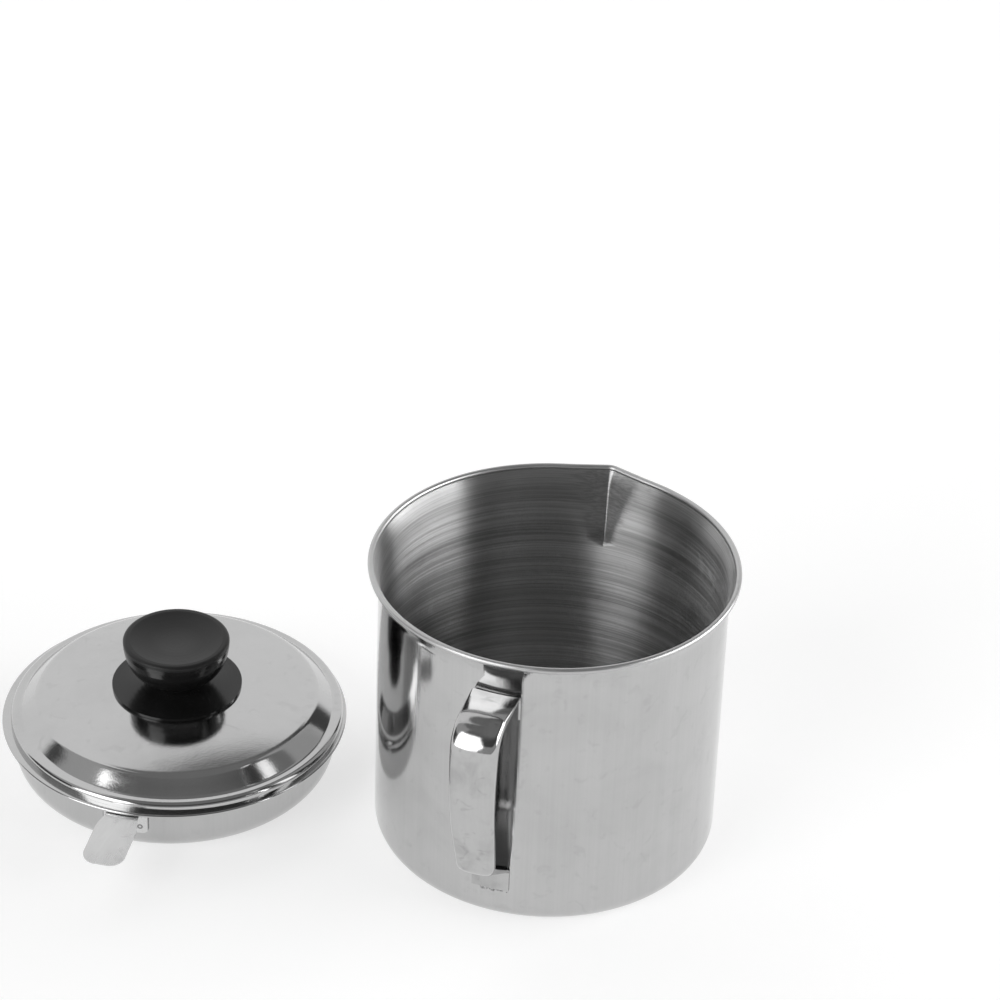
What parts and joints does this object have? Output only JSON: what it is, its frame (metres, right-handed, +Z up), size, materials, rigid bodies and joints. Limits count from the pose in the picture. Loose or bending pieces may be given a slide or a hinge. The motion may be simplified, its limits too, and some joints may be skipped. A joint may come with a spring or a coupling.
{
  "type": "bacon grease container",
  "caption": "Steel grease container: an open pot with a pouring spout and a strap handle, and a strainer pan with a finger tab and a domed lid with a round knob.",
  "frame": {"origin": "centre of the pot's flat underside", "axes": "+Z is up along the pot's axis, -Y points to the handle, +Y to the spout, and the strainer with its lid stands towards -X"},
  "size_m": [0.287, 0.182, 0.1205],
  "materials": {
    "pot_steel": "satin",
    "handle_steel": "polished",
    "pan_steel": "satin",
    "mesh_steel": "satin",
    "tab_steel": "satin",
    "lid_steel": "polished",
    "knob_plastic": "gloss",
    "insert_brass": "satin",
    "screw_steel": "satin",
    "washer_steel": "satin"
  },
  "bodies": {
    "pot": {"pot_body": "pot_steel", "pot_handle": "handle_steel"},
    "strainer": {"strainer_pan": "pan_steel", "strainer_mesh": "mesh_steel", "strainer_tab": "tab_steel"},
    "lid_set": {"lid": "lid_steel", "knob": "knob_plastic", "knob_insert": "insert_brass", "knob_screw": "screw_steel", "knob_washer": "washer_steel"}
  },
  "joints": [
    {"name": "strainer_lift", "type": "slide", "parent": "pot", "child": "strainer", "axis": [0, 0, 1], "range_m": [0, 0.15]},
    {"name": "lid_lift", "type": "slide", "parent": "strainer", "child": "lid_set", "axis": [0, 0, 1], "range_m": [0, 0.08]}
  ]
}
